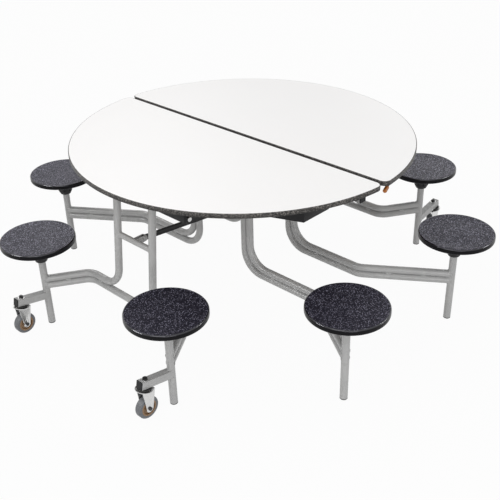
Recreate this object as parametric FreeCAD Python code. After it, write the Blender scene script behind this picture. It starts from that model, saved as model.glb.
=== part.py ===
# Round folding table on casters with eight attached swivel seats.
# The top is two half discs that meet at a seam along Y. Each half has an end frame at its outer side and a
# centre frame near the seam. Everything is drawn on the right half (+X) and mirrored for the left one.
import FreeCAD, Part
import math
import os
from FreeCAD import Vector as V

# Top
TOP_RADIUS = 762.0
TOP_HEIGHT = 749.0
TOP_THICKNESS = 20.0
LAMINATE = 1.2
ARC_OFFSET = 19.5
SEAM_GAP = 16.0
CORNER_RADIUS = 30.0
EDGE_WIDTH = 3.5
EDGE_ROUND = 3.0

# Round tube of the frames
TUBE = 31.75
TUBE_WALL = 2.1
PAIR_GAP = 0.4
PAIR_HEIGHT = 210.0
PIVOT_TUBE = 25.4
RUN_SHORT = 1.0

# End frame
END_PLANE = 656.0
END_LEAN = 43.0
UPRIGHT_Y = 109.0
UPRIGHT_BEND = 90.0
END_BEND_Y = 300.0
PLAN_BEND = 70.0
CROSSBAR_HEIGHT = 480.0
END_PIVOT_DROP = 57.0
PIVOT_OFFSET = 22.0
UPRIGHT_ABOVE_PIVOT = 8.0

# Centre frame
CENTRE_PLANE = 146.0
CENTRE_PAIR_Y = 162.0
CENTRE_BEND = 98.0
CENTRE_TURN_Y = 552.0
CENTRE_PIVOT_DROP = 108.0
CENTRE_PIVOT_HALF = 228.0
CENTRE_BAR_RISE = 31.0

# Seam hinge
HINGE_DROP = 134.0
HINGE_Y = 330.0
HINGE_PIN = 16.0
HINGE_EYE = 36.0
HINGE_CHEEK = 6.0
HINGE_TONGUE = 17.4

# Channels under the top
SHEET = 3.0
CENTRE_CHANNEL_NEAR = 160.0
CENTRE_CHANNEL_FAR = 309.0
CENTRE_CHANNEL_END = 620.0
CENTRE_CHANNEL_DEPTH = 73.0
CENTRE_CHANNEL_FLARE = 0.4
END_CHANNEL_NEAR = 530.0
END_CHANNEL_FAR = 616.0
END_CHANNEL_HALF = 296.0
END_CHANNEL_DEPTH = 67.0
UPRIGHT_SLOT = 44.0
EAR_RADIUS = 18.0

# Pivot pins and fold link
PIVOT_PIN = 12.7
PIVOT_PIN_REACH = 40.0
PIN_HEAD = 19.0
PIN_HEAD_HEIGHT = 6.0
LINK_INSET = 5.0
LINK_PIN = 10.0
LINK_EYE = 27.0
LINK_WIDTH = 23.0
LINK_THICKNESS = 10.0
BRACKET_PLATE = 4.0

# Seats and posts
END_SEAT_X = 831.0
END_SEAT_Y = 410.5
CENTRE_SEAT_X = 368.5
CENTRE_SEAT_Y = 881.0
SEAT_DIAMETER = 318.0
SEAT_THICKNESS = 23.0
SEAT_HEIGHT = 433.0
SEAT_ROUND = 6.0
HUB_TOP = 68.0
HUB_BOTTOM = 38.0
HUB_HEIGHT = 90.0
HUB_TAPER = 36.0
HUB_SLEEVE = 60.0
GLIDE_HEIGHT = 9.0
GLIDE_FLANGE = 5.0

# Caster arms, which rise outward, and casters, whose stems stand square to the arms
ARM_SQUARE = 31.75
ARM_WALL = 2.5
ARM_HEIGHT = 148.0
ARM_TILT = 11.2
ARM_REACH = 156.0
PLUG_LIP = 4.0
PLUG_DEPTH = 14.0
CASTER_REACH = 133.0
STEM = 12.0
STEM_ABOVE_ARM = 12.0
NUT_WIDTH = 18.0
NUT_HEIGHT = 9.0
RACE_DIAMETER = 56.0
RACE_HEIGHT = 6.0
WHEEL_DIAMETER = 93.0
WHEEL_WIDTH = 30.0
TREAD = 13.0
AXLE_DROP = 107.0
CASTER_TRAIL = 20.0
FORK_PLATE = 3.0
FORK_TOP = 70.0
FORK_EYE = 32.0
AXLE = 9.5
AXLE_HEAD = 15.0
AXLE_HEAD_HEIGHT = 5.0
WHEEL_SIDE_GAP = 2.0

# Latch at the seam's front end
LATCH_X = 146.0
LATCH_INSET = 60.0
LATCH_DROP = 16.0
LATCH_TIP_X = 50.0
LATCH_TIP_INSET = 34.0
LATCH_TIP_DROP = 38.0
LATCH_BAR = 9.0
LATCH_BOSS = 14.0
LATCH_PIVOT = 10.0
LATCH_CAP = 4.0
GRIP_LENGTH = 30.0
GRIP_ON_BAR = 22.0
GRIP_DIAMETER = 17.0
STRIKE_X = 83.0
STRIKE_INSET = 43.0
STRIKE_WIDTH = 30.0
STRIKE_REACH = 32.0

# Clearances
RUN = 0.1
SIDE = 0.3

UNDERSIDE = TOP_HEIGHT - TOP_THICKNESS
SEAM_EDGE = SEAM_GAP / 2
PAIR_STEP = (TUBE + PAIR_GAP) / 2
UPPER_HEIGHT = PAIR_HEIGHT + PAIR_STEP
LOWER_HEIGHT = PAIR_HEIGHT - PAIR_STEP
END_PIVOT_HEIGHT = UNDERSIDE - END_PIVOT_DROP
CENTRE_PIVOT_HEIGHT = UNDERSIDE - CENTRE_PIVOT_DROP
HINGE_HEIGHT = UNDERSIDE - HINGE_DROP
UPRIGHT_TOP = END_PIVOT_HEIGHT + UPRIGHT_ABOVE_PIVOT
UPRIGHT_TOP_X = END_PLANE - END_LEAN
CROSSBAR_X = END_PLANE - END_LEAN * (CROSSBAR_HEIGHT - UPPER_HEIGHT) / (UPRIGHT_TOP - UPPER_HEIGHT)
END_PIVOT_X = UPRIGHT_TOP_X - PIVOT_OFFSET
CENTRE_PIVOT_X = CENTRE_PLANE - PIVOT_OFFSET
LINK_DROP = END_PIVOT_HEIGHT - CROSSBAR_HEIGHT
END_LINK_X = END_PIVOT_X - LINK_INSET
CENTRE_LINK_X = CENTRE_PIVOT_X - LINK_INSET
CENTRE_LINK_HEIGHT = CENTRE_PIVOT_HEIGHT - LINK_DROP
POST_TOP = SEAT_HEIGHT - SEAT_THICKNESS - HUB_HEIGHT + HUB_SLEEVE
LATCH_Y = LATCH_INSET - TOP_RADIUS
LATCH_LEVEL = UNDERSIDE - LATCH_DROP
STRIKE_Y = STRIKE_INSET - TOP_RADIUS
AXLE_X = CASTER_REACH - CASTER_TRAIL
SIDES = (1, -1)
SEATS = (
    (-CENTRE_SEAT_X, CENTRE_SEAT_Y),
    (-END_SEAT_X, END_SEAT_Y),
    (-END_SEAT_X, -END_SEAT_Y),
    (-CENTRE_SEAT_X, -CENTRE_SEAT_Y),
    (CENTRE_SEAT_X, -CENTRE_SEAT_Y),
    (END_SEAT_X, -END_SEAT_Y),
    (END_SEAT_X, END_SEAT_Y),
    (CENTRE_SEAT_X, CENTRE_SEAT_Y),
)


def save(name, *solids):
    shape = solids[0] if len(solids) == 1 else Part.makeCompound(list(solids))
    shape.exportStep("parts/" + name + ".step")


def mirrored(solid):
    return solid.mirror(V(0, 0, 0), V(1, 0, 0))


def both_halves(name, *solids):
    save(name + "_right", *solids)
    save(name + "_left", *[mirrored(s) for s in solids])


def across(solid):
    return solid.mirror(V(0, 0, 0), V(0, 1, 0))


def box(x0, x1, y0, y1, z0, z1):
    low_y = min(y0, y1)
    return Part.makeBox(x1 - x0, abs(y1 - y0), z1 - z0, V(x0, low_y, z0))


def rod(diameter, start, end):
    reach = end - start
    return Part.makeCylinder(diameter / 2, reach.Length, start, reach)


def plate(points, y0, y1):
    low_y = min(y0, y1)
    corners = [V(x, low_y, z) for x, z in points]
    face = Part.Face(Part.makePolygon(corners + corners[:1]))
    return face.extrude(V(0, abs(y1 - y0), 0))


def bent_path(points, radii):
    # Straight runs joined by arcs that are tangent to both runs.
    edges = []
    start = points[0]
    for before, corner, after, radius in zip(points, points[1:], points[2:], radii):
        back = (before - corner).normalize()
        ahead = (after - corner).normalize()
        half = back.getAngle(ahead) / 2
        trim = radius / math.tan(half)
        centre = corner + (back + ahead).normalize() * (radius / math.sin(half))
        first = corner + back * trim
        last = corner + ahead * trim
        middle = centre + (corner - centre).normalize() * radius
        edges.append(Part.LineSegment(start, first).toShape())
        edges.append(Part.Arc(first, middle, last).toShape())
        start = last
    edges.append(Part.LineSegment(start, points[-1]).toShape())
    return Part.Wire(edges)


def swept(diameter, points, radii):
    circle = Part.makeCircle(diameter / 2, points[0], points[1] - points[0])
    return bent_path(points, radii).makePipeShell([Part.Wire(circle)], True, False)


def tube(diameter, wall, points, radii):
    return swept(diameter, points, radii).cut(swept(diameter - 2 * wall, points, radii))


def straight_tube(diameter, wall, start, end):
    return rod(diameter, start, end).cut(rod(diameter - 2 * wall, start, end))


def half_disc(inset, z0, z1):
    # A half disc with its two seam corners rounded, drawn in by inset all round. Its arc is centred past
    # the seam.
    radius = TOP_RADIUS - inset
    edge = SEAM_EDGE + inset
    corner = CORNER_RADIUS - inset
    centre_x = edge + corner
    centre_y = math.sqrt((radius - corner) ** 2 - (centre_x + ARC_OFFSET) ** 2)
    turn = math.atan2(centre_y, centre_x + ARC_OFFSET)
    touch = V(radius * math.cos(turn) - ARC_OFFSET, radius * math.sin(turn), z0)
    middle_turn = (turn + math.pi) / 2
    bulge = V(centre_x + corner * math.cos(middle_turn), centre_y + corner * math.sin(middle_turn), z0)
    seam_end = V(edge, centre_y, z0)

    def flip(point):
        return V(point.x, -point.y, point.z)

    outline = Part.Wire([
        Part.Arc(flip(touch), V(radius - ARC_OFFSET, 0, z0), touch).toShape(),
        Part.Arc(touch, bulge, seam_end).toShape(),
        Part.LineSegment(seam_end, flip(seam_end)).toShape(),
        Part.Arc(flip(seam_end), flip(bulge), flip(touch)).toShape(),
    ])
    return Part.Face(outline).extrude(V(0, 0, z1 - z0))


def table_top():
    core = half_disc(EDGE_WIDTH, UNDERSIDE, TOP_HEIGHT - LAMINATE)
    laminate = half_disc(EDGE_WIDTH, TOP_HEIGHT - LAMINATE, TOP_HEIGHT)
    outer = half_disc(0, UNDERSIDE, TOP_HEIGHT)
    rims = [e for e in outer.Edges if abs(e.BoundBox.ZLength) < EDGE_ROUND]
    band = outer.makeFillet(EDGE_ROUND, rims).cut(half_disc(EDGE_WIDTH, UNDERSIDE, TOP_HEIGHT))
    both_halves("top_core", core)
    both_halves("laminate", laminate)
    both_halves("edge_band", band)


def sheet_channel(near, far, flare, y0, y1, depth):
    # Bent sheet channel, open below, with its web against the underside and both ends closed. Its far wall
    # stands at far at the y1 end and spreads by flare per millimetre towards the y0 end.
    wall = SHEET * math.sqrt(1 + flare ** 2)

    def block(inset, thickness, z1):
        low_y = y0 + inset
        high_y = y1 - inset
        corners = [V(near + inset, low_y, 0), V(far + flare * (y1 - low_y) - thickness, low_y, 0),
                   V(far + flare * (y1 - high_y) - thickness, high_y, 0), V(near + inset, high_y, 0)]
        outline = Part.Face(Part.makePolygon(corners + corners[:1]))
        outline.translate(V(0, 0, UNDERSIDE - depth))
        return outline.extrude(V(0, 0, z1 - UNDERSIDE + depth))

    return block(0, 0, UNDERSIDE).cut(block(SHEET, wall, UNDERSIDE - SHEET))


def ear(pivot_x, pivot_z, y0, y1, x0, x1):
    # Plate from the underside down to a pivot, rounded about the pivot.
    sides = plate(
        [(pivot_x - EAR_RADIUS, pivot_z), (pivot_x + EAR_RADIUS, pivot_z), (x1, UNDERSIDE), (x0, UNDERSIDE)],
        y0, y1)
    low_y = min(y0, y1)
    high_y = max(y0, y1)
    return sides.fuse(rod(2 * EAR_RADIUS, V(pivot_x, low_y, pivot_z), V(pivot_x, high_y, pivot_z)))


def hinge_arm(y0, y1, bore):
    # Plate from the centre channel's wall to the seam hinge axis.
    eye = HINGE_EYE / 2
    body = plate(
        [(0, HINGE_HEIGHT - eye), (CENTRE_CHANNEL_NEAR, UNDERSIDE - CENTRE_CHANNEL_DEPTH),
         (CENTRE_CHANNEL_NEAR, UNDERSIDE), (SEAM_EDGE + CORNER_RADIUS, UNDERSIDE), (-eye, HINGE_HEIGHT)],
        y0, y1)
    axis = (V(0, y0, HINGE_HEIGHT), V(0, y1, HINGE_HEIGHT))
    return body.fuse(rod(HINGE_EYE, *axis)).cut(rod(bore, *axis))


def hinge_cheeks():
    inner = HINGE_TONGUE / 2 + SIDE
    outer = inner + HINGE_CHEEK
    spans = ((HINGE_Y - outer, HINGE_Y - inner), (HINGE_Y + inner, HINGE_Y + outer))
    return [hinge_arm(low, high, HINGE_PIN) for low, high in spans]


def hinge_tongue():
    half = HINGE_TONGUE / 2
    return [hinge_arm(HINGE_Y - half, HINGE_Y + half, HINGE_PIN + 2 * RUN)]


def centre_channel(arms):
    # One side's channel, whose inner end plate reaches to the centre frame's pivot, with the hinge arms.
    inner_y = CENTRE_PIVOT_HALF + SIDE
    shell = sheet_channel(
        CENTRE_CHANNEL_NEAR, CENTRE_CHANNEL_FAR, CENTRE_CHANNEL_FLARE, inner_y, CENTRE_CHANNEL_END,
        CENTRE_CHANNEL_DEPTH)
    pivot_ear = ear(
        CENTRE_PIVOT_X, CENTRE_PIVOT_HEIGHT, inner_y, inner_y + SHEET,
        CENTRE_PIVOT_X - EAR_RADIUS, CENTRE_CHANNEL_NEAR + EAR_RADIUS)
    solid = shell.fuse(pivot_ear)
    for arm in arms:
        solid = solid.fuse(arm)
    pin_hole = rod(
        PIVOT_PIN, V(CENTRE_PIVOT_X, inner_y, CENTRE_PIVOT_HEIGHT),
        V(CENTRE_PIVOT_X, inner_y + SHEET, CENTRE_PIVOT_HEIGHT))
    return solid.cut(pin_hole).removeSplitter()


def centre_channels():
    right = centre_channel(hinge_tongue())
    left = mirrored(centre_channel(hinge_cheeks()))
    save("centre_channels_right", right, across(right))
    save("centre_channels_left", left, across(left))


def end_channel():
    half = END_CHANNEL_HALF
    solid = sheet_channel(END_CHANNEL_NEAR, END_CHANNEL_FAR, 0, -half, half, END_CHANNEL_DEPTH)
    for side in SIDES:
        slot_y = side * UPRIGHT_Y
        slot = box(
            END_CHANNEL_FAR - SHEET, END_CHANNEL_FAR, slot_y - UPRIGHT_SLOT / 2, slot_y + UPRIGHT_SLOT / 2,
            UNDERSIDE - END_CHANNEL_DEPTH, UNDERSIDE - SHEET)
        near = side * (half - SHEET)
        far = side * half
        hole = rod(PIVOT_PIN, V(END_PIVOT_X, near, END_PIVOT_HEIGHT), V(END_PIVOT_X, far, END_PIVOT_HEIGHT))
        cheek = ear(END_PIVOT_X, END_PIVOT_HEIGHT, near, far, END_PIVOT_X - EAR_RADIUS, END_CHANNEL_FAR)
        solid = solid.cut(slot).fuse(cheek).cut(hole)
    both_halves("end_channel", solid.removeSplitter())


def headed_pin(diameter, outside, inside):
    # Pin with a round head against the plate at outside, running in to inside.
    out = (outside - inside).normalize()
    shank = rod(diameter, inside, outside)
    head = rod(PIN_HEAD, outside, outside + out * PIN_HEAD_HEIGHT)
    rim = [e for e in head.Edges if (e.CenterOfMass - outside).dot(out) > PIN_HEAD_HEIGHT * 0.9]
    return shank.fuse(head.makeFillet(PIN_HEAD_HEIGHT / 3, rim[:1]))


def pivot_pins():
    pins = []
    for side in SIDES:
        end_out = V(END_PIVOT_X, side * END_CHANNEL_HALF, END_PIVOT_HEIGHT)
        centre_out = V(CENTRE_PIVOT_X, side * (CENTRE_PIVOT_HALF + SIDE + SHEET), CENTRE_PIVOT_HEIGHT)
        for outside in (end_out, centre_out):
            pins.append(headed_pin(PIVOT_PIN, outside, outside - V(0, side * PIVOT_PIN_REACH, 0)))
    save("pivot_pins_right", *pins, latch_stud())
    save("pivot_pins_left", *[mirrored(pin) for pin in pins])


def seam_hinge_pins():
    reach = HINGE_TONGUE / 2 + SIDE + HINGE_CHEEK
    pins = []
    for side in SIDES:
        outside = V(0, side * (HINGE_Y + reach), HINGE_HEIGHT)
        inside = V(0, side * (HINGE_Y - reach), HINGE_HEIGHT)
        pins.append(headed_pin(HINGE_PIN, outside, inside))
    save("seam_hinge_pins", *pins)


def post(x, y):
    return rod(TUBE, V(x, y, GLIDE_FLANGE), V(x, y, POST_TOP))


def hollow_post(x, y):
    return post(x, y).cut(rod(TUBE - 2 * TUBE_WALL, V(x, y, GLIDE_FLANGE), V(x, y, POST_TOP)))


def run_end(post_x, post_y, corner):
    # Where a run of tube from corner stops inside the post it is welded to, just short of the post's axis.
    axis = V(post_x, post_y, corner.z)
    return axis + (corner - axis).normalize() * RUN_SHORT


def glide(x, y):
    # Foot with a domed sole and a plug that fills the bottom of its post.
    sole = rod(TUBE, V(x, y, 0), V(x, y, GLIDE_FLANGE))
    rim = [e for e in sole.Edges if e.BoundBox.ZMax < GLIDE_FLANGE / 2]
    dome = sole.makeFillet(GLIDE_FLANGE / 2, rim)
    plug = rod(TUBE - 2 * TUBE_WALL, V(x, y, GLIDE_FLANGE), V(x, y, GLIDE_FLANGE + GLIDE_HEIGHT))
    return dome.fuse(plug)


def pivot_tube(x, z, half):
    whole = rod(PIVOT_TUBE, V(x, -half, z), V(x, half, z))
    return whole, whole.cut(rod(PIVOT_PIN + 2 * RUN, V(x, -half, z), V(x, half, z)))


def link_bracket(plane, bar_height, pin_x, pin_height):
    # Two plates that stand off the crossbar, with the link's pin through them.
    inner = LINK_THICKNESS / 2 + SIDE
    eye = LINK_EYE / 2
    reach = V(plane - pin_x, 0, bar_height - pin_height).normalize()
    lean_x = reach.z * eye
    lean_z = -reach.x * eye
    outline = [(pin_x + lean_x, pin_height + lean_z), (plane + lean_x, bar_height + lean_z),
               (plane - lean_x, bar_height - lean_z), (pin_x - lean_x, pin_height - lean_z)]
    bar = rod(PIVOT_TUBE, V(plane, -UPRIGHT_Y, bar_height), V(plane, UPRIGHT_Y, bar_height))
    solids = []
    for side in SIDES:
        near = side * inner
        far = side * (inner + BRACKET_PLATE)
        nose = rod(LINK_EYE, V(pin_x, near, pin_height), V(pin_x, far, pin_height))
        hole = rod(LINK_PIN, V(pin_x, near, pin_height), V(pin_x, far, pin_height))
        solids.append(plate(outline, near, far).fuse(nose).cut(hole).cut(bar).removeSplitter())
    end = inner + BRACKET_PLATE
    solids.append(headed_pin(LINK_PIN, V(pin_x, -end, pin_height), V(pin_x, end, pin_height)))
    return solids


def crossbar(plane, height, half_span, cutters):
    bar = straight_tube(PIVOT_TUBE, TUBE_WALL, V(plane, -half_span, height), V(plane, half_span, height))
    for cutter in cutters:
        bar = bar.cut(cutter)
    return bar


def end_frame():
    upper_path = [
        V(UPRIGHT_TOP_X, UPRIGHT_Y, UPRIGHT_TOP),
        V(END_PLANE, UPRIGHT_Y, UPPER_HEIGHT),
        V(END_PLANE, END_BEND_Y, UPPER_HEIGHT),
        run_end(END_SEAT_X, END_SEAT_Y, V(END_PLANE, END_BEND_Y, UPPER_HEIGHT)),
    ]
    lower_path = [
        V(END_PLANE, 0, LOWER_HEIGHT),
        V(END_PLANE, END_BEND_Y, LOWER_HEIGHT),
        run_end(END_SEAT_X, END_SEAT_Y, V(END_PLANE, END_BEND_Y, LOWER_HEIGHT)),
    ]
    pivot_whole, pivot = pivot_tube(END_PIVOT_X, END_PIVOT_HEIGHT, END_CHANNEL_HALF - SHEET - SIDE)
    seat_post = post(END_SEAT_X, END_SEAT_Y)
    upper_bends = (UPRIGHT_BEND, PLAN_BEND)
    upper = tube(TUBE, TUBE_WALL, upper_path, upper_bends).cut(pivot_whole).cut(seat_post)
    upper_whole = swept(TUBE, upper_path, upper_bends)
    lower_half = tube(TUBE, TUBE_WALL, lower_path, (PLAN_BEND,)).cut(seat_post)
    lower = lower_half.fuse(across(lower_half)).removeSplitter()
    bar = crossbar(CROSSBAR_X, CROSSBAR_HEIGHT, UPRIGHT_Y, (upper_whole, across(upper_whole)))
    bracket = link_bracket(CROSSBAR_X, CROSSBAR_HEIGHT, END_LINK_X, CROSSBAR_HEIGHT)
    both_halves("end_upper_tubes", upper, across(upper))
    both_halves("end_lower_tube", lower)
    both_halves("end_cross_members", pivot, bar, *bracket)
    both_halves("end_posts", *[hollow_post(END_SEAT_X, side * END_SEAT_Y) for side in SIDES])


def centre_frame():
    upper_y = CENTRE_PAIR_Y + PAIR_STEP
    lower_y = CENTRE_PAIR_Y - PAIR_STEP
    top = CENTRE_PIVOT_HEIGHT + UPRIGHT_ABOVE_PIVOT
    pivot_whole, pivot = pivot_tube(CENTRE_PIVOT_X, CENTRE_PIVOT_HEIGHT, CENTRE_PIVOT_HALF)
    seat_post = post(CENTRE_SEAT_X, CENTRE_SEAT_Y)
    bends = (CENTRE_BEND, PLAN_BEND)
    tubes = []
    cutters = []
    for y, z in ((upper_y, UPPER_HEIGHT), (lower_y, LOWER_HEIGHT)):
        path = [
            V(CENTRE_PLANE, y, top),
            V(CENTRE_PLANE, y, z),
            V(CENTRE_PLANE, CENTRE_TURN_Y, z),
            run_end(CENTRE_SEAT_X, CENTRE_SEAT_Y, V(CENTRE_PLANE, CENTRE_TURN_Y, z)),
        ]
        bent = tube(TUBE, TUBE_WALL, path, bends).cut(pivot_whole).cut(seat_post)
        tubes += [bent, across(bent)]
        cutters.append(rod(TUBE, V(CENTRE_PLANE, y, z + CENTRE_BEND), V(CENTRE_PLANE, y, top)))
    inner = cutters[1]
    bar_height = CENTRE_LINK_HEIGHT + CENTRE_BAR_RISE
    bar = crossbar(CENTRE_PLANE, bar_height, lower_y, (inner, across(inner)))
    bracket = link_bracket(CENTRE_PLANE, bar_height, CENTRE_LINK_X, CENTRE_LINK_HEIGHT)
    both_halves("centre_tubes", *tubes)
    both_halves("centre_cross_members", pivot, bar, *bracket)
    both_halves("centre_posts", *[hollow_post(CENTRE_SEAT_X, side * CENTRE_SEAT_Y) for side in SIDES])
    both_halves("centre_glides", *[glide(CENTRE_SEAT_X, side * CENTRE_SEAT_Y) for side in SIDES])


def fold_link():
    # Flat bar with an eye at each end, parallel to the line through the two frame pivots.
    start = V(END_LINK_X, 0, CROSSBAR_HEIGHT)
    end = V(CENTRE_LINK_X, 0, CENTRE_LINK_HEIGHT)
    half = V(0, LINK_THICKNESS / 2, 0)
    along = (end - start).normalize()
    rise = along.cross(V(0, 1, 0)) * (LINK_WIDTH / 2)
    corners = [start + rise - half, end + rise - half, end - rise - half, start - rise - half]
    bar = Part.Face(Part.makePolygon(corners + corners[:1])).extrude(half * 2)
    for point in (start, end):
        bar = bar.fuse(rod(LINK_EYE, point - half, point + half))
    for point in (start, end):
        bar = bar.cut(rod(LINK_PIN + 2 * RUN, point - half, point + half))
    both_halves("fold_link", bar.removeSplitter())


def seat(x, y):
    # Round moulded seat with a soft top edge, on a swivel hub that tapers in to sleeve over its post.
    pan_bottom = SEAT_HEIGHT - SEAT_THICKNESS
    pan = rod(SEAT_DIAMETER, V(x, y, pan_bottom), V(x, y, SEAT_HEIGHT))
    crown = [e for e in pan.Edges if e.BoundBox.ZMin > SEAT_HEIGHT - SEAT_ROUND]
    pan = pan.makeFillet(SEAT_ROUND, crown)
    hub_bottom = pan_bottom - HUB_HEIGHT
    taper = Part.makeCone(HUB_BOTTOM / 2, HUB_TOP / 2, HUB_TAPER, V(x, y, hub_bottom))
    cup = rod(HUB_TOP, V(x, y, hub_bottom + HUB_TAPER), V(x, y, pan_bottom))
    socket = rod(TUBE + 2 * RUN, V(x, y, hub_bottom), V(x, y, POST_TOP + SIDE))
    return pan, taper.fuse(cup).cut(socket).removeSplitter()


def seats():
    for number, (x, y) in enumerate(SEATS, 1):
        save("seat_%d" % number, *seat(x, y))


def on_arm(solid, y):
    # From a caster arm's own frame, x along the arm from its post and z square to it, to its place.
    placed = solid.copy()
    placed.rotate(V(0, 0, 0), V(0, 1, 0), -ARM_TILT)
    placed.translate(V(END_SEAT_X, y, ARM_HEIGHT))
    return placed


def caster_arm():
    half = ARM_SQUARE / 2
    core = half - ARM_WALL
    outside = box(0, ARM_REACH, -half, half, -half, half)
    inside = box(0, ARM_REACH, -core, core, -core, core)
    return outside.cut(inside).cut(rod(STEM, V(CASTER_REACH, 0, -half), V(CASTER_REACH, 0, half)))


def arm_plug():
    half = ARM_SQUARE / 2
    core = half - ARM_WALL
    lip = box(ARM_REACH, ARM_REACH + PLUG_LIP, -half, half, -half, half)
    outer_face = [e for e in lip.Edges if e.BoundBox.XMin > ARM_REACH + PLUG_LIP / 2]
    tongue = box(ARM_REACH - PLUG_DEPTH, ARM_REACH, -core, core, -core, core)
    stem_way = rod(STEM + 2 * SIDE, V(CASTER_REACH, 0, -half), V(CASTER_REACH, 0, half))
    return lip.makeFillet(PLUG_LIP / 2, outer_face).fuse(tongue).cut(stem_way).removeSplitter()


def caster_stem():
    # Threaded stem with a nut on top of the arm and the fixed upper race below it.
    up = V(0, 0, 1)
    low = V(CASTER_REACH, 0, -ARM_SQUARE / 2)
    high = V(CASTER_REACH, 0, ARM_SQUARE / 2)
    race_low = low - up * RACE_HEIGHT
    shank = rod(STEM, race_low - up * FORK_PLATE, high + up * STEM_ABOVE_ARM)
    race = rod(RACE_DIAMETER, race_low, low)
    ring = [e for e in race.Edges if e.BoundBox.ZMax < low.z - RACE_HEIGHT / 2]
    race = race.makeFillet(RACE_HEIGHT / 3, ring)
    corners = []
    for turn in range(7):
        angle = math.radians(60 * turn)
        corners.append(high + V(math.cos(angle), math.sin(angle), 0) * (NUT_WIDTH / math.sqrt(3)))
    nut = Part.Face(Part.makePolygon(corners)).extrude(up * NUT_HEIGHT)
    return shank.fuse(race).fuse(nut)


def caster_arms():
    arms = []
    fittings = []
    stems = []
    for side in SIDES:
        y = side * END_SEAT_Y
        behind = box(END_SEAT_X - TUBE, END_SEAT_X + RUN_SHORT, y - TUBE, y + TUBE,
                     ARM_HEIGHT - TUBE, ARM_HEIGHT + TUBE)
        arms.append(on_arm(caster_arm(), y).cut(behind).cut(post(END_SEAT_X, y)))
        fittings += [on_arm(arm_plug(), y), glide(END_SEAT_X, y)]
        stems.append(on_arm(caster_stem(), y))
    both_halves("caster_arms", *arms)
    both_halves("end_plugs", *fittings)
    both_halves("caster_stems", *stems)


def caster_fork():
    # Pressed fork: a round crown under the race, two legs beside the wheel, and the axle bolt.
    crown_top = -ARM_SQUARE / 2 - RACE_HEIGHT - SIDE
    crown_low = crown_top - FORK_PLATE
    shoulder = FORK_TOP / 3
    inner = WHEEL_WIDTH / 2 + WHEEL_SIDE_GAP
    outer = inner + FORK_PLATE
    eye = FORK_EYE / 2
    crown = rod(FORK_TOP, V(CASTER_REACH, 0, crown_low), V(CASTER_REACH, 0, crown_top))
    solid = crown.fuse(box(AXLE_X - eye, CASTER_REACH + shoulder, -outer, outer, crown_low, crown_top))
    for side in SIDES:
        near = side * inner
        far = side * outer
        leg = plate(
            [(AXLE_X - eye, -AXLE_DROP), (AXLE_X + eye, -AXLE_DROP), (CASTER_REACH + shoulder, crown_top),
             (AXLE_X - eye, crown_top)], near, far)
        solid = solid.fuse(leg).fuse(rod(FORK_EYE, V(AXLE_X, near, -AXLE_DROP), V(AXLE_X, far, -AXLE_DROP)))
    stem_hole = rod(STEM + 2 * RUN, V(CASTER_REACH, 0, crown_low), V(CASTER_REACH, 0, crown_top))
    axle = rod(AXLE, V(AXLE_X, -outer, -AXLE_DROP), V(AXLE_X, outer, -AXLE_DROP))
    solid = solid.cut(stem_hole).cut(axle).removeSplitter()
    for side in SIDES:
        face = V(AXLE_X, side * outer, -AXLE_DROP)
        axle = axle.fuse(rod(AXLE_HEAD, face, face + V(0, side * AXLE_HEAD_HEIGHT, 0)))
    return solid, axle.removeSplitter()


def wheel():
    half = V(0, WHEEL_WIDTH / 2, 0)
    axis = V(AXLE_X, 0, -AXLE_DROP)
    hub_diameter = WHEEL_DIAMETER - 2 * TREAD
    outside = rod(WHEEL_DIAMETER, axis - half, axis + half)
    shoulder = [e for e in outside.Edges if e.BoundBox.YLength < WHEEL_WIDTH / 2]
    tyre = outside.makeFillet(TREAD / 2, shoulder).cut(rod(hub_diameter, axis - half, axis + half))
    hub = rod(hub_diameter, axis - half, axis + half)
    dish_depth = V(0, WHEEL_WIDTH / 5, 0)
    for side in SIDES:
        face = axis + half * side
        dish = rod(hub_diameter - TREAD, face - dish_depth * side, face)
        hub = hub.cut(dish.cut(rod(AXLE_HEAD + TREAD, face - dish_depth * side, face)))
    return tyre, hub.cut(rod(AXLE + 2 * RUN, axis - half, axis + half))


def casters():
    tyre, hub = wheel()
    groups = (("caster_fork", caster_fork()), ("tyre", (tyre,)), ("wheel_hub", (hub,)))
    for name, solids in groups:
        for offset, place in ((1, mirrored), (3, lambda solid: solid)):
            for step, side in enumerate(SIDES):
                placed = [place(on_arm(solid, side * END_SEAT_Y)) for solid in solids]
                save("%s_%d" % (name, offset + step), *placed)


def latch_stud():
    # Shouldered stud in the underside that the latch lever hangs and turns on.
    low = LATCH_LEVEL - LATCH_BOSS / 2
    foot = V(LATCH_X, LATCH_Y, low - LATCH_CAP)
    stud = rod(LATCH_PIVOT, foot, V(LATCH_X, LATCH_Y, UNDERSIDE))
    return stud.fuse(rod(LATCH_PIVOT * 2, foot, V(LATCH_X, LATCH_Y, low - SIDE)))


def latch():
    # Release lever hung on its stud behind the right half's front rim, dipping below the rim at its grip.
    pivot = V(LATCH_X, LATCH_Y, LATCH_LEVEL)
    pivot_low = pivot - V(0, 0, LATCH_BOSS / 2)
    pivot_high = pivot + V(0, 0, LATCH_BOSS / 2)
    tip = V(LATCH_TIP_X, LATCH_TIP_INSET - TOP_RADIUS, UNDERSIDE - LATCH_TIP_DROP)
    along = (tip - pivot).normalize()
    bar = rod(LATCH_BAR, pivot, tip)
    eye = rod(LATCH_PIVOT + 2 * RUN, pivot_low, pivot_high)
    save("latch_lever", bar.fuse(rod(LATCH_PIVOT * 2, pivot_low, pivot_high)).cut(eye).removeSplitter())
    grip_start = tip - along * GRIP_ON_BAR
    grip_end = grip_start + along * GRIP_LENGTH
    grip = rod(GRIP_DIAMETER, grip_start, grip_end)
    ends = [e for e in grip.Edges if (e.CenterOfMass - grip_end).Length < GRIP_LENGTH / 4]
    save("latch_grip", grip.makeFillet(GRIP_DIAMETER / 3, ends).cut(bar))


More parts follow.
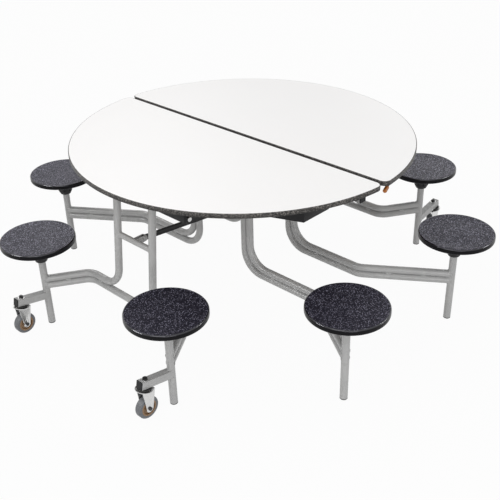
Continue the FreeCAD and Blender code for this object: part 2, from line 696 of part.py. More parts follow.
def latch_strike():
    # Two-pronged bracket under the left half's front rim.
    far = -STRIKE_X - STRIKE_REACH
    half = STRIKE_WIDTH / 2
    base = box(far, -STRIKE_X, STRIKE_Y - half, STRIKE_Y + half, UNDERSIDE - SHEET, UNDERSIDE)
    for side in SIDES:
        prong_y = STRIKE_Y + side * (half - SHEET)
        prong = box(far, -STRIKE_X, prong_y - SHEET, prong_y + SHEET, UNDERSIDE - STRIKE_WIDTH, UNDERSIDE)
        base = base.fuse(prong)
    save("latch_strike", base.removeSplitter())


os.makedirs("parts", exist_ok=True)
table_top()
centre_channels()
end_channel()
pivot_pins()
seam_hinge_pins()
end_frame()
centre_frame()
fold_link()
seats()
caster_arms()
casters()
latch()
latch_strike()
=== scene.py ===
import bpy
import bmesh
import math
from mathutils import Matrix, Vector


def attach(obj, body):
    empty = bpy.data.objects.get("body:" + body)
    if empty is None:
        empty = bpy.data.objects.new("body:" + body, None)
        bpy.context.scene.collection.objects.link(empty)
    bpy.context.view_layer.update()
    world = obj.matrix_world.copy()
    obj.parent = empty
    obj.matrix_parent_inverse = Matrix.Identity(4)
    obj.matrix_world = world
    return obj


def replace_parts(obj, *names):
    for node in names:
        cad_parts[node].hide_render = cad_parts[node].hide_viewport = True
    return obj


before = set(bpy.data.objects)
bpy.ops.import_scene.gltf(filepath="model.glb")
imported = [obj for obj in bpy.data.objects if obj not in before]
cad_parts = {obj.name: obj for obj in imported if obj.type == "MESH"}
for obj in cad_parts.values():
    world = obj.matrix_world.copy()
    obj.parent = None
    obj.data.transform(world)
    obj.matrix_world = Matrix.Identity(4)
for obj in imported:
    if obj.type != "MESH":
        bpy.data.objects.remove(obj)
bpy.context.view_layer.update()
bpy.ops.object.select_all(action="DESELECT")

# End frames: each is two steel tubes that bend up into uprights, one lower tube from seat to seat, a
# crossbar, two seat posts and two square caster arms, cut to fit and welded. The whole frame is powder
# coated light grey, a coat with a faint pebble and slightly cloudy colour.


class Tone:
    """One value in a material's nodes. Arithmetic on it adds Math nodes."""

    def __init__(self, tree, socket=None):
        self.tree = tree
        self.socket = socket

    def node(self, kind, settings, sockets, out=0):
        made = self.tree.nodes.new("ShaderNode" + kind)
        for key, value in settings.items():
            if key == "stops":
                stops = made.color_ramp.elements
                while len(stops) < len(value):
                    stops.new(1.0)
                for stop, (position, colour) in zip(stops, value):
                    stop.position = position
                    stop.color = (*colour, 1.0)
            else:
                setattr(made, key, value)
        for key, value in sockets.items():
            if isinstance(value, Tone):
                self.tree.links.new(value.socket, made.inputs[key])
            else:
                made.inputs[key].default_value = value
        return Tone(self.tree, made.outputs[out] if len(made.outputs) else None)

    def sum(self, operation, first, second):
        return self.node("Math", {"operation": operation}, {0: first, 1: second})

    def __add__(self, other):
        return self.sum("ADD", self, other)

    def __sub__(self, other):
        return self.sum("SUBTRACT", self, other)

    def __rsub__(self, other):
        return self.sum("SUBTRACT", other, self)

    def __mul__(self, other):
        return self.sum("MULTIPLY", self, other)

    __radd__ = __add__
    __rmul__ = __mul__

    def clamped(self):
        return self.node("Clamp", {}, {0: self})

    def climb(self, start, gain):
        """0 up to start, then climbing by gain to 1."""
        return ((self - start) * gain).clamped()

    def noise(self, scale, detail=2.0, rough=0.5):
        sockets = {"Vector": self, "Scale": scale, "Detail": detail, "Roughness": rough}
        return self.node("TexNoise", {}, sockets)

    def cells(self, scale, out, feature="F1"):
        return self.node("TexVoronoi", {"feature": feature}, {"Vector": self, "Scale": scale}, out=out)

    def red(self):
        return self.node("SeparateColor", {}, {0: self}, out=0)

    def upward(self):
        return self.node("SeparateXYZ", {}, {0: self}, out=2)

    def mixed(self, colour_a, colour_b):
        """self is the share of colour_b."""
        settings = {"data_type": "RGBA"}
        return self.node("Mix", settings, {0: self, 6: flat(colour_a), 7: flat(colour_b)}, out=2)

    def bump(self, strength, height):
        return self.node("Bump", {}, {"Height": self, "Strength": strength, "Distance": height})


def flat(colour):
    return colour if isinstance(colour, Tone) else (*colour, 1.0)


def new_finish(name):
    material = bpy.data.materials.new(name)
    material.use_nodes = True
    material.node_tree.nodes.clear()
    return material, Tone(material.node_tree).node("TexCoord", {}, {}, out="Object")


def seal(place, sockets):
    shader = place.node("BsdfPrincipled", {}, sockets)
    place.node("OutputMaterial", {}, {"Surface": shader})


def dress(material, *nodes):
    for node in nodes:
        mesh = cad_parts[node].data
        mesh.materials.clear()
        mesh.materials.append(material)


grey_coat, place = new_finish("grey_powder_coat")
cloud = place.noise(scale=11.0, detail=3.0)
pebble = place.noise(scale=1100.0)
seal(place, {
    "Base Color": cloud.mixed((0.33, 0.33, 0.328), (0.42, 0.42, 0.417)),
    "Roughness": 0.20 + cloud * 0.14,
    "Normal": pebble.bump(strength=0.10, height=0.0004),
})
HALVES = ("left", "right")
SIDES = (("left", -1.0), ("right", 1.0))
for half in HALVES:
    dress(grey_coat, "end_upper_tubes_" + half, "end_lower_tube_" + half, "end_cross_members_" + half,
          "end_posts_" + half, "caster_arms_" + half)


def pick(piece, kind, test):
    """In edit mode, selects the faces or edges whose middle and normal, or direction, pass the test."""
    mesh = bmesh.from_edit_mesh(piece.data)
    bpy.ops.mesh.select_mode(type=kind)
    bpy.ops.mesh.select_all(action="DESELECT")
    for part in mesh.faces if kind == "FACE" else mesh.edges:
        corners = [vertex.co for vertex in part.verts]
        middle = sum(corners, Vector()) / len(corners)
        heading = part.normal if kind == "FACE" else (corners[1] - corners[0]).normalized()
        part.select_set(bool(test(middle, heading)))
    mesh.select_flush_mode()
    bmesh.update_edit_mesh(piece.data)


def started():
    """The primitive just added, with its place in its mesh, open in edit mode."""
    bpy.ops.object.transform_apply(location=True, rotation=True, scale=True)
    bpy.ops.object.mode_set(mode="EDIT")
    return bpy.context.object


def smoothed(piece, angle=35.0):
    bpy.ops.object.mode_set(mode="OBJECT")
    bpy.ops.object.shade_smooth_by_angle(angle=math.radians(angle))
    bpy.ops.object.select_all(action="DESELECT")
    return piece


def copy_of(model, placing):
    piece = model.copy()
    piece.data = model.data.copy()
    piece.data.transform(placing)
    bpy.context.scene.collection.objects.link(piece)
    return piece


def joined(name, pieces):
    bpy.ops.object.select_all(action="DESELECT")
    for piece in pieces:
        piece.select_set(True)
    bpy.context.view_layer.objects.active = pieces[0]
    bpy.ops.object.join()
    pieces[0].name = name
    bpy.ops.object.select_all(action="DESELECT")
    return pieces[0]


def painted(piece, material, body):
    piece.data.materials.clear()
    piece.data.materials.append(material)
    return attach(piece, body)


BEAD_RADIUS = 0.0026
BEAD_STEPS = 44
BEAD_SIDES = 8
BEAD_RIPPLE = 0.0005
WELD_SMOOTH = 60.0
QUARTER_TURN = math.pi / 2


def saddle_bead(tube_radius, post_radius):
    """Rippled weld bead round a tube along +X, where it meets an upright post."""
    bpy.ops.mesh.primitive_torus_add(
        major_radius=tube_radius, minor_radius=BEAD_RADIUS, major_segments=BEAD_STEPS,
        minor_segments=BEAD_SIDES, rotation=(0.0, QUARTER_TURN, 0.0))
    ring = started()
    pick(ring, "FACE", lambda middle, normal:
         int(math.atan2(middle.z, middle.y) / math.tau * BEAD_STEPS + BEAD_STEPS) % 2)
    bpy.ops.transform.shrink_fatten(value=BEAD_RIPPLE)
    smoothed(ring, WELD_SMOOTH)
    for vertex in ring.data.vertices:
        sideways = max(-post_radius, min(post_radius, vertex.co.y))
        vertex.co.x += math.sqrt(post_radius ** 2 - sideways ** 2)
    return ring


def facing(direction, place):
    """Turns a bead's +X along a level direction and puts it at a place."""
    ahead = Vector(direction).normalized()
    side = Vector((0.0, 0.0, 1.0)).cross(ahead)
    turned = Matrix((ahead, side, Vector((0.0, 0.0, 1.0)))).transposed().to_4x4()
    return Matrix.Translation(Vector(place)) @ turned


def raised(spot, height):
    return spot + Vector((0.0, 0.0, height))


TUBE_RADIUS = 0.015875
BAR_RADIUS = 0.0127
UPPER_TUBE = 0.226075
LOWER_TUBE = 0.193925
END_POST = Vector((0.831, 0.4105, 0.0))
END_CORNER = Vector((0.656, 0.300, 0.0))
END_BEND = Vector((0.656, 0.199, 0.0))
END_BAR = Vector((0.632, 0.109, 0.480))
ARM_LEVEL = 0.148
ARM_TILT = math.radians(11.2)
ARM_RISE = math.tan(ARM_TILT)
ARM_HALF = 0.01618
tube_weld = saddle_bead(TUBE_RADIUS, TUBE_RADIUS)
bar_weld = saddle_bead(BAR_RADIUS, TUBE_RADIUS)

# The caster arm's weld follows the post half way round, above and below the arm.
ARM_WELD_START = 0.001
bpy.ops.mesh.primitive_torus_add(
    major_radius=TUBE_RADIUS, minor_radius=BEAD_RADIUS, major_segments=BEAD_STEPS,
    minor_segments=BEAD_SIDES)
arm_weld = started()
bpy.ops.mesh.bisect(
    plane_co=(ARM_WELD_START, 0.0, 0.0), plane_no=(1.0, 0.0, 0.0), use_fill=True, clear_inner=True)
smoothed(arm_weld, WELD_SMOOTH)
for vertex in arm_weld.data.vertices:
    vertex.co.z += vertex.co.x * ARM_RISE

# Stitch welds lie in the groove between two stacked tubes, a finger's width long.
STITCH_LENGTH = 0.026
STITCH_RADIUS = 0.0032
STITCH_SIDES = 12
STITCH_CUTS = 8
STITCH_PITCH = 0.0029
STITCH_RIPPLE = 0.0004
STITCH_TAPER = 0.55
bpy.ops.mesh.primitive_cylinder_add(
    vertices=STITCH_SIDES, radius=STITCH_RADIUS, depth=STITCH_LENGTH, rotation=(0.0, QUARTER_TURN, 0.0))
stitch = started()
pick(stitch, "EDGE", lambda middle, way: abs(way.x) > 0.9)
bpy.ops.mesh.subdivide(number_cuts=STITCH_CUTS)
pick(stitch, "FACE", lambda middle, normal:
     abs(normal.x) < 0.5 and int((middle.x + STITCH_LENGTH / 2) / STITCH_PITCH) % 2)
bpy.ops.transform.shrink_fatten(value=STITCH_RIPPLE)
pick(stitch, "FACE", lambda middle, normal: abs(normal.x) > 0.9)
bpy.ops.transform.resize(value=(1.0, STITCH_TAPER, STITCH_TAPER))
smoothed(stitch, WELD_SMOOTH)
PAIR_LEVEL = 0.210
GROOVE = 0.0092


def stitched(start, end, shares):
    """Stitch welds on both sides of a pair's straight run, at these shares of its length."""
    way = end - start
    side = Vector((-way.y, way.x, 0.0)).normalized() * GROOVE
    found = []
    for share in shares:
        for step in (side, -side):
            spot = raised(start + way * share + step, PAIR_LEVEL)
            found.append(copy_of(stitch, facing(way, spot)))
    return found


END_RUN_STITCHES = (0.52,)
END_SIDE_STITCHES = (0.35,)
for half, across_x in SIDES:
    beads = []
    for along_y in (1.0, -1.0):
        here = Vector((across_x, along_y, 1.0))
        foot, corner = END_POST * here, END_CORNER * here
        for height in (UPPER_TUBE, LOWER_TUBE):
            beads.append(copy_of(tube_weld, facing(corner - foot, raised(foot, height))))
        for height in (ARM_LEVEL - ARM_HALF, ARM_LEVEL + ARM_HALF):
            beads.append(copy_of(arm_weld, facing((across_x, 0.0, 0.0), raised(foot, height))))
        beads.append(copy_of(bar_weld, facing((0.0, -along_y, 0.0), END_BAR * here)))
        beads += stitched(corner, foot, END_RUN_STITCHES)
        beads += stitched(END_BEND * here, corner, END_SIDE_STITCHES)
    painted(joined("end_frame_welds_" + half, beads), grey_coat, "end_frame_" + half)

# Centre frames: four bent tubes a half, in stacked pairs that turn up beside the seam and run out to the
# centre seats, with a pivot tube, crossbar and two seat posts. Welded and coated like the end frames.
CENTRE_POST = Vector((0.3685, 0.881, 0.0))
CENTRE_CORNER = Vector((0.146, 0.552, 0.0))
CENTRE_BEND = Vector((0.146, 0.276, 0.0))
CENTRE_BAR = Vector((0.146, 0.146, 0.460))
CENTRE_RUN_STITCHES = (0.33, 0.70)
CENTRE_SIDE_STITCHES = (0.15, 0.62)
for half, across_x in SIDES:
    dress(grey_coat, "centre_tubes_" + half, "centre_cross_members_" + half, "centre_posts_" + half)
    beads = []
    for along_y in (1.0, -1.0):
        here = Vector((across_x, along_y, 1.0))
        foot, corner = CENTRE_POST * here, CENTRE_CORNER * here
        for height in (UPPER_TUBE, LOWER_TUBE):
            beads.append(copy_of(tube_weld, facing(corner - foot, raised(foot, height))))
        beads.append(copy_of(bar_weld, facing((0.0, -along_y, 0.0), CENTRE_BAR * here)))
        beads += stitched(corner, foot, CENTRE_RUN_STITCHES)
        beads += stitched(CENTRE_BEND * here, corner, CENTRE_SIDE_STITCHES)
    painted(joined("centre_frame_welds_" + half, beads), grey_coat, "centre_frame_" + half)
for model in (tube_weld, bar_weld, arm_weld, stitch):
    bpy.data.objects.remove(model)

# Foot glides and arm plugs: black moulded nylon with a dull, scuffed skin, pressed into the open ends of
# the posts and caster arms and held there by friction.
black_nylon, place = new_finish("black_nylon")
scuff = place.noise(scale=60.0, detail=4.0)
seal(place, {
    "Base Color": scuff.mixed((0.006, 0.006, 0.007), (0.018, 0.018, 0.019)),
    "Roughness": 0.42 + scuff * 0.25,
    "Specular IOR Level": 0.25,
    "Normal": place.noise(scale=700.0).bump(strength=0.12, height=0.0003),
})
for half in HALVES:
    dress(black_nylon, "end_plugs_" + half, "centre_glides_" + half)

# Casters: a threaded stem through each arm with its nut and upper race, a pressed fork that swivels
# below it, and a wheel with a grey rubber tread bonded on a tan moulded core. The fork is zinc plated,
# the stem, the race and the axle's heads are blackened.
MERGE_DISTANCE = 0.00001
FLAT_ANGLE = math.radians(0.5)
CORNER_ANGLE = math.radians(40.0)


def eased(node, width, material, body):
    """Shows a merged copy of a CAD node in its place, with its sharp corners rounded if width isn't 0."""
    piece = bpy.data.objects.new(node + "_eased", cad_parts[node].data.copy())
    bpy.context.scene.collection.objects.link(piece)
    piece.select_set(True)
    bpy.context.view_layer.objects.active = piece
    bpy.ops.object.mode_set(mode="EDIT")
    bpy.ops.mesh.select_all(action="SELECT")
    bpy.ops.mesh.remove_doubles(threshold=MERGE_DISTANCE)
    bpy.ops.mesh.dissolve_limited(angle_limit=FLAT_ANGLE)
    bpy.ops.object.mode_set(mode="OBJECT")
    if width:
        rounding = piece.modifiers.new("rounding", "BEVEL")
        rounding.width = width
        rounding.segments = 2
        rounding.limit_method = "ANGLE"
        rounding.angle_limit = CORNER_ANGLE
        bpy.ops.object.modifier_apply(modifier="rounding")
    painted(smoothed(piece), material, body)
    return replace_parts(piece, node)


zinc, place = new_finish("bright_zinc")
stain = place.noise(scale=70.0, detail=4.0)
seal(place, {
    "Base Color": stain.mixed((0.58, 0.59, 0.60), (0.72, 0.71, 0.69)),
    "Metallic": 1.0,
    "Roughness": 0.20 + stain * 0.22,
    "Normal": place.noise(scale=420.0, detail=3.0).bump(strength=0.06, height=0.0003),
})
blackened, place = new_finish("blackened_steel")
stain = place.noise(scale=70.0, detail=4.0)
seal(place, {
    "Base Color": stain.mixed((0.015, 0.015, 0.016), (0.045, 0.044, 0.043)),
    "Metallic": 0.6,
    "Roughness": 0.28 + stain * 0.20,
    "Normal": place.noise(scale=420.0, detail=3.0).bump(strength=0.06, height=0.0003),
})
tread, place = new_finish("grey_tread")
dust = place.noise(scale=90.0, detail=4.0)
seal(place, {
    "Base Color": dust.mixed((0.070, 0.075, 0.082), (0.165, 0.170, 0.180)),
    "Roughness": 0.36 + dust * 0.25,
    "Normal": place.noise(scale=800.0).bump(strength=0.15, height=0.0004),
})
tan_core, place = new_finish("tan_wheel_core")
dust = place.noise(scale=80.0, detail=4.0)
seal(place, {
    "Base Color": dust.mixed((0.15, 0.085, 0.040), (0.29, 0.175, 0.090)),
    "Roughness": 0.40 + dust * 0.25,
    "Normal": place.noise(scale=600.0).bump(strength=0.10, height=0.0003),
})
AXLE_X = 0.96263
AXLE_Z = 0.06499
AXLE_HEAD = 0.0085
ARM_Y = 0.4105
FORK_HALF = 0.0203
for half in HALVES:
    dress(blackened, "caster_stems_" + half)
for number in range(1, 5):
    fork = eased("caster_fork_%d" % number, 0.0, zinc, "caster_%d" % number)
    fork.data.materials.append(blackened)
    for face in fork.data.polygons:
        reach = math.hypot(abs(face.center.x) - AXLE_X, face.center.z - AXLE_Z)
        outside = abs(abs(face.center.y) - ARM_Y) > FORK_HALF
        face.material_index = 1 if outside and reach < AXLE_HEAD else 0
    dress(tread, "tyre_%d" % number)
    dress(tan_core, "wheel_hub_%d" % number)

# Washers: thin rings punched from zinc plated steel sheet, one on top of each caster arm. The stem's nut
# clamps it there.
STEM_REACH = 0.133
WASHER_RADIUS = 0.0138
WASHER_SIDES = 32
WASHER_THICKNESS = 0.0022
WASHER_EDGE = 0.0006
WASHER_BAND = 0.006
bpy.ops.mesh.primitive_cylinder_add(vertices=WASHER_SIDES, radius=WASHER_RADIUS, depth=WASHER_THICKNESS)
washer = started()
pick(washer, "EDGE", lambda middle, way: abs(way.z) < 0.5)
bpy.ops.mesh.bevel(offset=WASHER_EDGE, segments=2, affect="EDGES")
pick(washer, "FACE", lambda middle, normal: abs(normal.z) > 0.999)
bpy.ops.mesh.inset(thickness=WASHER_BAND)
bpy.ops.mesh.bridge_edge_loops()
smoothed(washer)
for half, across_x in SIDES:
    rings = []
    for along_y in (1.0, -1.0):
        on_arm = Matrix.Translation(raised(END_POST * Vector((across_x, along_y, 1.0)), ARM_LEVEL))
        on_arm = on_arm @ Matrix.Rotation(-across_x * ARM_TILT, 4, "Y")
        seated = Vector((across_x * STEM_REACH, 0.0, TUBE_RADIUS + WASHER_THICKNESS / 2))
        rings.append(copy_of(washer, on_arm @ Matrix.Translation(seated)))
    painted(joined("caster_washers_" + half, rings), zinc, "end_frame_" + half)
bpy.data.objects.remove(washer)

# Tops: two half discs of pressed wood board. The board's chips show on the underside, under a thin
# sealer, and the upper face carries a white laminate sheet with a very fine warm mottle, glued on.
board, place = new_finish("sealed_board")
chip_share = place.cells(scale=260.0, out="Color").red()
grain = place.noise(scale=35.0, detail=5.0)
seal(place, {
    "Base Color": (chip_share * 0.7 + grain * 0.3).mixed((0.20, 0.125, 0.065), (0.43, 0.30, 0.18)),
    "Roughness": 0.62 + grain * 0.2,
    "Normal": chip_share.bump(strength=0.12, height=0.0004),
})
white_sheet, place = new_finish("white_laminate")
mottle = place.noise(scale=340.0, detail=3.0, rough=0.7)
drift = place.noise(scale=2.5)
seal(place, {
    "Base Color": (mottle * 0.75 + drift * 0.25).mixed((0.895, 0.880, 0.872), (0.960, 0.957, 0.953)),
    "Roughness": 0.46 + mottle * 0.12,
    "Specular IOR Level": 0.20,
    "Normal": place.noise(scale=1500.0).bump(strength=0.05, height=0.0002),
})
for half in HALVES:
    dress(board, "top_core_" + half)
    dress(white_sheet, "laminate_" + half)

# Edge band: a tough moulded rim cast round each half's edge, dark grey-brown with a granite speckle of
# lighter and black grains, satin and slightly pitted. Its lower part is painted plain and dark, as
# painted shade where the rim turns under.
rim, place = new_finish("granite_rim")
grain_share = place.cells(scale=330.0, out="Color").red()
speckle = grain_share.node("ValToRGB", {"stops": [
    (0.0, (0.008, 0.0075, 0.007)), (0.40, (0.034, 0.031, 0.030)),
    (0.75, (0.072, 0.067, 0.063)), (0.93, (0.21, 0.197, 0.184))]}, {0: grain_share})
# Below this height the band is painted plain and dark, as painted shade where the rim turns under.
PAINTED_SHADE_TOP = 0.727
speckle_above_painted_shade = place.upward().climb(start=PAINTED_SHADE_TOP, gain=75.0)
seal(place, {
    "Base Color": speckle_above_painted_shade.mixed((0.010, 0.0095, 0.009), speckle),
    "Roughness": 0.38 + grain_share * 0.2,
    "Specular IOR Level": 0.35,
    "Normal": place.noise(scale=700.0, detail=3.0).bump(strength=0.15, height=0.0004),
})
for half in HALVES:
    dress(rim, "edge_band_" + half)

# Channels, links and latch: folded sheet and flat bar in black powder coat, screwed up under the board,
# with plated pins at every pivot. The latch lever ends in a dipped orange grip.
black_coat, place = new_finish("black_powder_coat")
cloud = place.noise(scale=18.0, detail=3.0)
seal(place, {
    "Base Color": cloud.mixed((0.005, 0.005, 0.006), (0.012, 0.012, 0.013)),
    "Roughness": 0.34 + cloud * 0.18,
    "Specular IOR Level": 0.22,
    "Normal": place.noise(scale=1000.0).bump(strength=0.10, height=0.0004),
})
orange_dip, place = new_finish("orange_dip")
cloud = place.noise(scale=55.0, detail=3.0)
seal(place, {
    "Base Color": cloud.mixed((0.34, 0.10, 0.014), (0.50, 0.17, 0.028)),
    "Roughness": 0.30 + cloud * 0.15,
    "Normal": place.noise(scale=300.0).bump(strength=0.08, height=0.0004),
})
SHEET_ROUND = 0.0008
STRIKE_ROUND = 0.0010
LINK_ROUND = 0.0015
for half in HALVES:
    eased("centre_channels_" + half, SHEET_ROUND, black_coat, "top_" + half)
    eased("end_channel_" + half, SHEET_ROUND, black_coat, "top_" + half)
    eased("fold_link_" + half, LINK_ROUND, black_coat, "fold_link_" + half)
    dress(zinc, "pivot_pins_" + half)
dress(zinc, "seam_hinge_pins")
eased("latch_strike", STRIKE_ROUND, black_coat, "top_left")
dress(black_coat, "latch_lever")
dress(orange_dip, "latch_grip")

# Seats: round moulded plastic pans, charcoal with a pebbled top that carries painted glints, a glossy
# rounded edge and a wall painted black and less glossy as painted shade, ribbed underneath. Each is
# screwed to a black swivel hub that sleeves over its post.
seat_plastic, place = new_finish("charcoal_seat")
upturn = place.node("NewGeometry", {}, {}, out="Normal").upward()
on_top = upturn.climb(start=0.93, gain=16.0)
pebbles = place.cells(scale=210.0, out="Distance", feature="SMOOTH_F1")
# The light flecks on the top are painted glints: lighter spots that stand in for pebbles catching the
# light.
PAINTED_GLINT_SCALE = 285.0
PAINTED_GLINT_REACH = 0.52
glint_share = place.cells(PAINTED_GLINT_SCALE, out="Color").red()
glint_distance = place.cells(PAINTED_GLINT_SCALE, out="Distance")
painted_glints = glint_share.climb(start=0.52, gain=2.4) * ((PAINTED_GLINT_REACH - glint_distance) * 5.0).clamped()
painted_glints = painted_glints * on_top
plain = on_top.mixed((0.0035, 0.0033, 0.0045), (0.0050, 0.0046, 0.0105))
seal(place, {
    "Base Color": painted_glints.mixed(plain, (0.33, 0.32, 0.41)),
    "Roughness": 0.16 + on_top * (0.47 - glint_share * 0.28),
    "Specular IOR Level": 0.285,
    "Specular Tint": (0.82, 0.80, 1.0, 1.0),
    "Coat Weight": upturn.climb(start=0.25, gain=6.0) * (1.0 - on_top),
    "Coat Roughness": 0.10,
    "Normal": (pebbles * on_top).bump(strength=0.60, height=0.0011),
})
# The wall is a darker, less glossy copy of the seat plastic, as painted shade on the pan's side.
seat_wall, place = new_finish("seat_wall")
scuff = place.noise(scale=45.0, detail=4.0)
seal(place, {
    "Base Color": scuff.mixed((0.0025, 0.0024, 0.0032), (0.0045, 0.0043, 0.0055)),
    "Roughness": 0.22 + scuff * 0.15,
    "Specular IOR Level": 0.10,
    "Normal": place.noise(scale=500.0).bump(strength=0.06, height=0.0003),
})


def drawn(distance):
    """Extrudes the selected faces straight up, or down."""
    bpy.ops.mesh.extrude_region_move(TRANSFORM_OT_translate={"value": (0.0, 0.0, distance)})


PAN_RADIUS = 0.15895
PAN_SIDES = 96
PAN_TOP = 0.433
PAN_LOW = 0.410
TOP_ROUND = 0.006
LOW_ROUND = 0.004
RIM_FLAT = 0.004
DISH_SLOPE = 0.006
DISH_DEPTH = 0.0010
DISH_RING = 0.05
CROWN_HEIGHT = 0.0006
PAN_WALL = 0.005
PAN_HOLLOW = 0.0135
PLATE_RING = 0.03
bpy.ops.mesh.primitive_cylinder_add(
    vertices=PAN_SIDES, radius=PAN_RADIUS, depth=PAN_TOP - PAN_LOW,
    location=(0.0, 0.0, (PAN_TOP + PAN_LOW) / 2))
pan = started()
pick(pan, "EDGE", lambda middle, way: middle.z > PAN_TOP - 0.0001)
bpy.ops.mesh.bevel(offset=TOP_ROUND, segments=8, affect="EDGES")
pick(pan, "EDGE", lambda middle, way: middle.z < PAN_LOW + 0.0001)
bpy.ops.mesh.bevel(offset=LOW_ROUND, segments=4, affect="EDGES")
pick(pan, "FACE", lambda middle, normal: normal.z > 0.999)
bpy.ops.mesh.inset(thickness=RIM_FLAT)
bpy.ops.mesh.inset(thickness=DISH_SLOPE, depth=-DISH_DEPTH)
bpy.ops.mesh.inset(thickness=DISH_RING)
bpy.ops.mesh.inset(thickness=DISH_RING, depth=CROWN_HEIGHT)
pick(pan, "FACE", lambda middle, normal: normal.z < -0.999)
bpy.ops.mesh.inset(thickness=PAN_WALL)
drawn(PAN_HOLLOW)
bpy.ops.mesh.inset(thickness=PLATE_RING)
smoothed(pan)

# Ribs under the pan run from the hub's plate out to the rim wall.
RIB_COUNT = 12
RIB_START = 0.040
RIB_END = 0.1545
RIB_LEVEL = 0.4175
RIB_WIDTH = 0.0034
RIB_HEIGHT = 0.012
RIB_FOOT = (0.985, 0.55, 1.0)
bpy.ops.mesh.primitive_cube_add(size=1.0, location=((RIB_START + RIB_END) / 2, 0.0, RIB_LEVEL))
bpy.context.object.scale = (RIB_END - RIB_START, RIB_WIDTH, RIB_HEIGHT)
rib = started()
pick(rib, "FACE", lambda middle, normal: normal.z < -0.9)
bpy.ops.transform.resize(value=RIB_FOOT)
smoothed(rib)
ribs = [copy_of(rib, Matrix.Rotation(math.tau * step / RIB_COUNT, 4, "Z")) for step in range(RIB_COUNT)]
joined("pan", [pan] + ribs)

# The hub is a fluted cup that narrows to a sleeve, bored for the post, under a wider plate.
CUP_RADIUS = 0.034
CUP_SIDES = 32
CUP_LOW = 0.338
HUB_LOW = 0.320
FLUTE_SPACING = 4
FLUTE_EDGE = 0.0010
FLUTE_DEPTH = 0.0030
SLEEVE_SHARE = 0.735
SLEEVE_WALL = 0.0085
BORE_DEPTH = 0.0605
PLATE_STEP = 0.003
PLATE_SHARE = 1.35
PLATE_THICKNESS = 0.0105
bpy.ops.mesh.primitive_cylinder_add(
    vertices=CUP_SIDES, radius=CUP_RADIUS, depth=PAN_LOW - CUP_LOW,
    location=(0.0, 0.0, (PAN_LOW + CUP_LOW) / 2))
hub = started()
pick(hub, "FACE", lambda middle, normal: abs(normal.z) < 0.9
     and round(math.atan2(middle.y, middle.x) / math.tau * CUP_SIDES - 0.5) % FLUTE_SPACING == 0)
bpy.ops.mesh.inset(thickness=FLUTE_EDGE, depth=-FLUTE_DEPTH, use_individual=True)
pick(hub, "FACE", lambda middle, normal: normal.z < -0.99)
drawn(HUB_LOW - CUP_LOW)
bpy.ops.transform.resize(value=(SLEEVE_SHARE, SLEEVE_SHARE, 1.0))
bpy.ops.mesh.inset(thickness=SLEEVE_WALL)
drawn(BORE_DEPTH)
pick(hub, "FACE", lambda middle, normal: normal.z > 0.99)
drawn(PLATE_STEP)
bpy.ops.transform.resize(value=(PLATE_SHARE, PLATE_SHARE, 1.0))
drawn(PLATE_THICKNESS)
smoothed(hub)
SEAT_PLACES = ((-0.3685, 0.881), (-0.831, 0.4105), (-0.831, -0.4105), (-0.3685, -0.881),
               (0.3685, -0.881), (0.831, -0.4105), (0.831, 0.4105), (0.3685, 0.881))
WALL_SLOPE = 0.2
for number, (seat_x, seat_y) in enumerate(SEAT_PLACES, 1):
    body = "seat_%d" % number
    shift = Matrix.Translation((seat_x, seat_y, 0.0))
    seat_pan = copy_of(pan, shift)
    seat_pan.name = "seat_pan_%d" % number
    painted(seat_pan, seat_plastic, body)
    # The wall faces take the painted shade: the darker, less glossy copy of the seat plastic.
    seat_pan.data.materials.append(seat_wall)
    for face in seat_pan.data.polygons:
        face.material_index = 1 if abs(face.normal.z) < WALL_SLOPE else 0
    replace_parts(seat_pan, body)
    seat_hub = copy_of(hub, shift)
    seat_hub.name = "seat_hub_%d" % number
    painted(seat_hub, black_nylon, body)
for model in (pan, rib, hub):
    bpy.data.objects.remove(model)

# Floor and light: a plain pale floor and a white surround that gloss shows too, with dimmer walls round
# the horizon. A soft window at the front left and a low fill light everything. Two strips and two windows
# behind show in gloss only, and draw the seats' edges and sheen.
FLOOR_SIZE = 60.0
FLOOR_GLOW = 0.95
bpy.ops.mesh.primitive_plane_add(size=FLOOR_SIZE)
floor = bpy.context.object
floor.name = "floor"
paper = bpy.data.materials.new("white_floor")
paper.use_nodes = True
paper.node_tree.nodes.clear()
rays = Tone(paper.node_tree)
seen = rays.node("LightPath", {}, {}, out="Is Camera Ray")
glossed = rays.node("LightPath", {}, {}, out="Is Glossy Ray")
shown = (seen + glossed).clamped()
matt = rays.node("BsdfDiffuse", {}, {"Color": (0.66, 0.66, 0.66, 1.0)})
glow = rays.node("Emission", {}, {"Color": (1.0, 1.0, 1.0, 1.0), "Strength": 1.0})
blend = rays.node("MixShader", {}, {0: shown * FLOOR_GLOW, 1: matt, 2: glow})
rays.node("OutputMaterial", {}, {"Surface": blend})
floor.data.materials.append(paper)

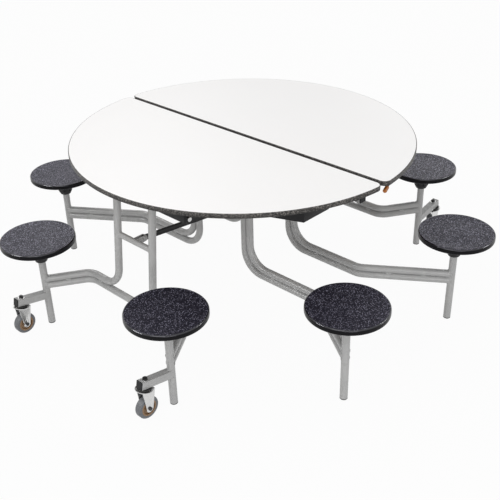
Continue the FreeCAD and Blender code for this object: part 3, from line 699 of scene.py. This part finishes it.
MATT_LIGHT = 0.85
WALL_MIDDLE = 0.08
WALL_FADE = 30.0
WALL_DIMMING = 0.55
world = bpy.data.worlds.new("white_surround")
bpy.context.scene.world = world
world.use_nodes = True
world.node_tree.nodes.clear()
sky = Tone(world.node_tree)
seen = sky.node("LightPath", {}, {}, out="Is Camera Ray")
glossed = sky.node("LightPath", {}, {}, out="Is Glossy Ray")
from_wall = sky.node("TexCoord", {}, {}, out="Generated").upward() - WALL_MIDDLE
dim_wall = (1.0 - from_wall * from_wall * WALL_FADE).clamped() * glossed * (1.0 - seen)
strength = MATT_LIGHT + (seen + glossed).clamped() * (1.0 - MATT_LIGHT) - dim_wall * WALL_DIMMING
surround = sky.node("Background", {}, {"Color": (1.0, 1.0, 1.0, 1.0), "Strength": strength})
sky.node("OutputWorld", {}, {"Surface": surround})

LAMP_AIM = Vector((0.0, 0.0, 0.35))
LAMPS = (
    ("key_window", (-3.6, -1.6, 3.4), 38.0, 2.2, 2.2, True),
    ("front_fill", (-4.3, -5.2, 0.8), 82.0, 3.2, 1.4, True),
    ("left_strip", (-3.3, 1.2, 2.3), 60.0, 1.6, 0.4, False),
    ("right_strip", (2.4, -3.0, 2.4), 28.0, 1.4, 0.3, False),
    ("back_window", (1.15, 2.6, 2.7), 36.0, 1.8, 0.8, False),
    ("back_right_window", (4.0, 1.3, 2.0), 10.5, 1.2, 0.6, False),
)
for name, spot, energy, width, height, lights_matt in LAMPS:
    lamp = bpy.data.lights.new(name, "AREA")
    lamp.shape = "RECTANGLE"
    lamp.energy = energy
    lamp.size = width
    lamp.size_y = height
    holder = bpy.data.objects.new(name, lamp)
    bpy.context.scene.collection.objects.link(holder)
    holder.visible_diffuse = lights_matt
    holder.location = spot
    holder.rotation_euler = (LAMP_AIM - Vector(spot)).to_track_quat("-Z", "Y").to_euler()

# Camera: stands off the front left corner, above seat height, at the photograph's angle.
CAMERA_PLACE = Vector((-2.39525, -2.37654, 2.12712))
YAW = math.radians(44.90)
PITCH = math.radians(30.17)
ROLL = math.radians(-1.81)
forward = Vector((math.cos(PITCH) * math.cos(YAW), math.cos(PITCH) * math.sin(YAW), -math.sin(PITCH)))
level = Vector((math.sin(YAW), -math.cos(YAW), 0.0))
upright = level.cross(forward)
across = level * math.cos(ROLL) + upright * math.sin(ROLL)
above = upright * math.cos(ROLL) - level * math.sin(ROLL)
eye = bpy.data.cameras.new("camera")
eye.sensor_width = 36.0
eye.lens = 59.65
eye.shift_x = 0.0132
camera = bpy.data.objects.new("camera", eye)
bpy.context.scene.collection.objects.link(camera)
turn = Matrix((across, above, -forward)).transposed().to_4x4()
camera.matrix_world = Matrix.Translation(CAMERA_PLACE) @ turn
bpy.context.scene.camera = camera
bpy.context.scene.view_settings.view_transform = "Standard"
